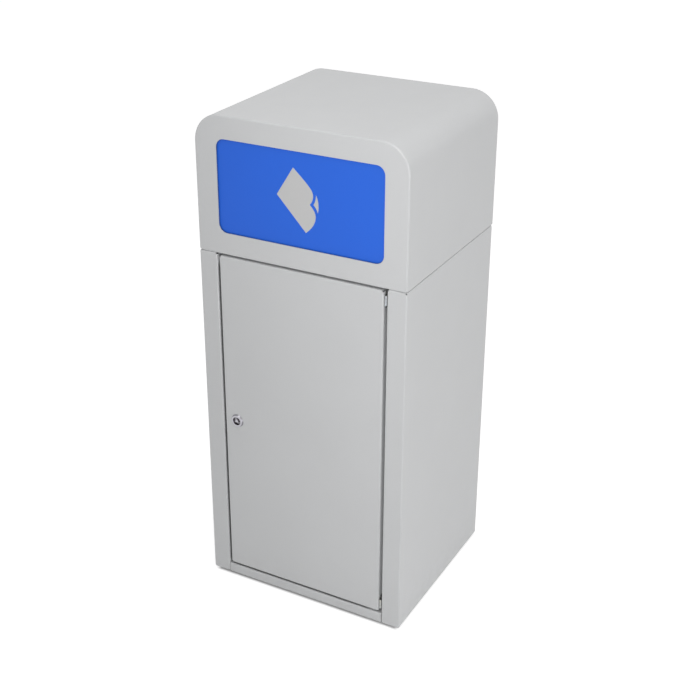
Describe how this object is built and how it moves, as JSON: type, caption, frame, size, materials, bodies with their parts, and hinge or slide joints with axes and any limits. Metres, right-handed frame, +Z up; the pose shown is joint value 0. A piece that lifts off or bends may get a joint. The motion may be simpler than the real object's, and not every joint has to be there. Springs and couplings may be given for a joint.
{
  "type": "paper recycling bin",
  "caption": "Sheet-steel paper recycling bin with a push-flap hood, a lockable full-height door and a lift-out liner.",
  "frame": {"origin": "middle of the cabinet on the floor it stands on", "axes": "+Z up, +X to the right seen from the front, the front face towards -Y"},
  "size_m": [0.4, 0.357, 0.917],
  "materials": {
    "grey_paint": "satin powder coat",
    "blue_paint": "satin powder coat",
    "zinc_plate": "bright zinc plate",
    "galvanised": "hot-dip galvanised",
    "chrome": "polished",
    "rubber": "matt"
  },
  "bodies": {
    "cabinet": {"body_shell": "grey_paint", "base_pan": "grey_paint", "front_rail": "grey_paint", "top_rail": "grey_paint", "lock_keep": "zinc_plate", "door_buffers": "rubber", "feet": "rubber", "foot_screws": "zinc_plate", "hinge_leaves_fixed": "zinc_plate", "hinge_pins": "zinc_plate", "hood_shell": "grey_paint", "hood_back": "grey_paint", "hood_bolts": "zinc_plate", "hood_nuts": "zinc_plate", "flap_brackets": "zinc_plate", "flap_rod": "zinc_plate", "rod_clips": "zinc_plate", "flap_buffers": "rubber", "liner": "galvanised", "liner_ends": "galvanised", "grip_trims": "rubber", "liner_runners": "galvanised"},
    "flap": {"flap_panel": "blue_paint"},
    "door": {"door_panel": "grey_paint", "door_stiffener": "grey_paint", "hinge_leaves_door": "zinc_plate", "lock_housing": "chrome", "lock_nut": "zinc_plate"},
    "lock": {"lock_core": "chrome", "lock_cam": "zinc_plate", "cam_screw": "zinc_plate"}
  },
  "joints": [
    {"name": "flap_swing", "type": "hinge", "parent": "cabinet", "child": "flap", "pos_m": [0, -0.16925, 0.891], "axis": [1, 0, 0], "range_deg": [0, 75]},
    {"name": "door_swing", "type": "hinge", "parent": "cabinet", "child": "door", "pos_m": [0.1612, -0.1741, 0.3475], "axis": [0, 0, 1], "range_deg": [0, 110]},
    {"name": "lock_turn", "type": "hinge", "parent": "door", "child": "lock", "pos_m": [-0.1345, -0.177, 0.3475], "axis": [0, 1, 0], "range_deg": [0, 90]}
  ]
}
